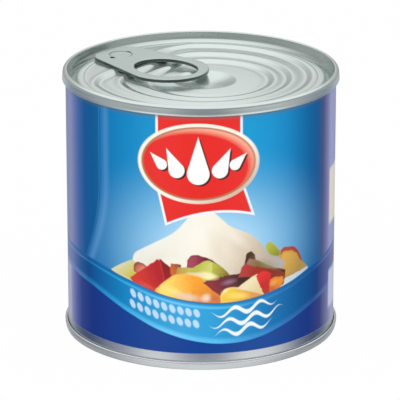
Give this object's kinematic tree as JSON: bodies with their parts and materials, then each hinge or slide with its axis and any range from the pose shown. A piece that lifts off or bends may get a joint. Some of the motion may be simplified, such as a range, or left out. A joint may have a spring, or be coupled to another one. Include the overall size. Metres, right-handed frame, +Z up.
{
  "type": "condensed milk can",
  "caption": "Short round tinplate can with printed wall, double seams, a stepped easy-open lid with a ring-pull tab, and a plain recessed base.",
  "frame": {"origin": "centre of the can at the height of its base", "axes": "+Z up along the can's axis; the label's front faces -Y"},
  "size_m": [0.0762, 0.0762, 0.0745],
  "materials": {
    "printed_tinplate": "gloss lacquered print in blue, red and cream",
    "lid_tinplate": "satin pressed tinplate",
    "tab_steel": "satin tinplate with curled edges",
    "base_tinplate": "satin pressed tinplate"
  },
  "bodies": {
    "root": {"can_body": "printed_tinplate", "lid": "lid_tinplate", "pull_tab": "tab_steel", "base_end": "base_tinplate"}
  },
  "joints": []
}
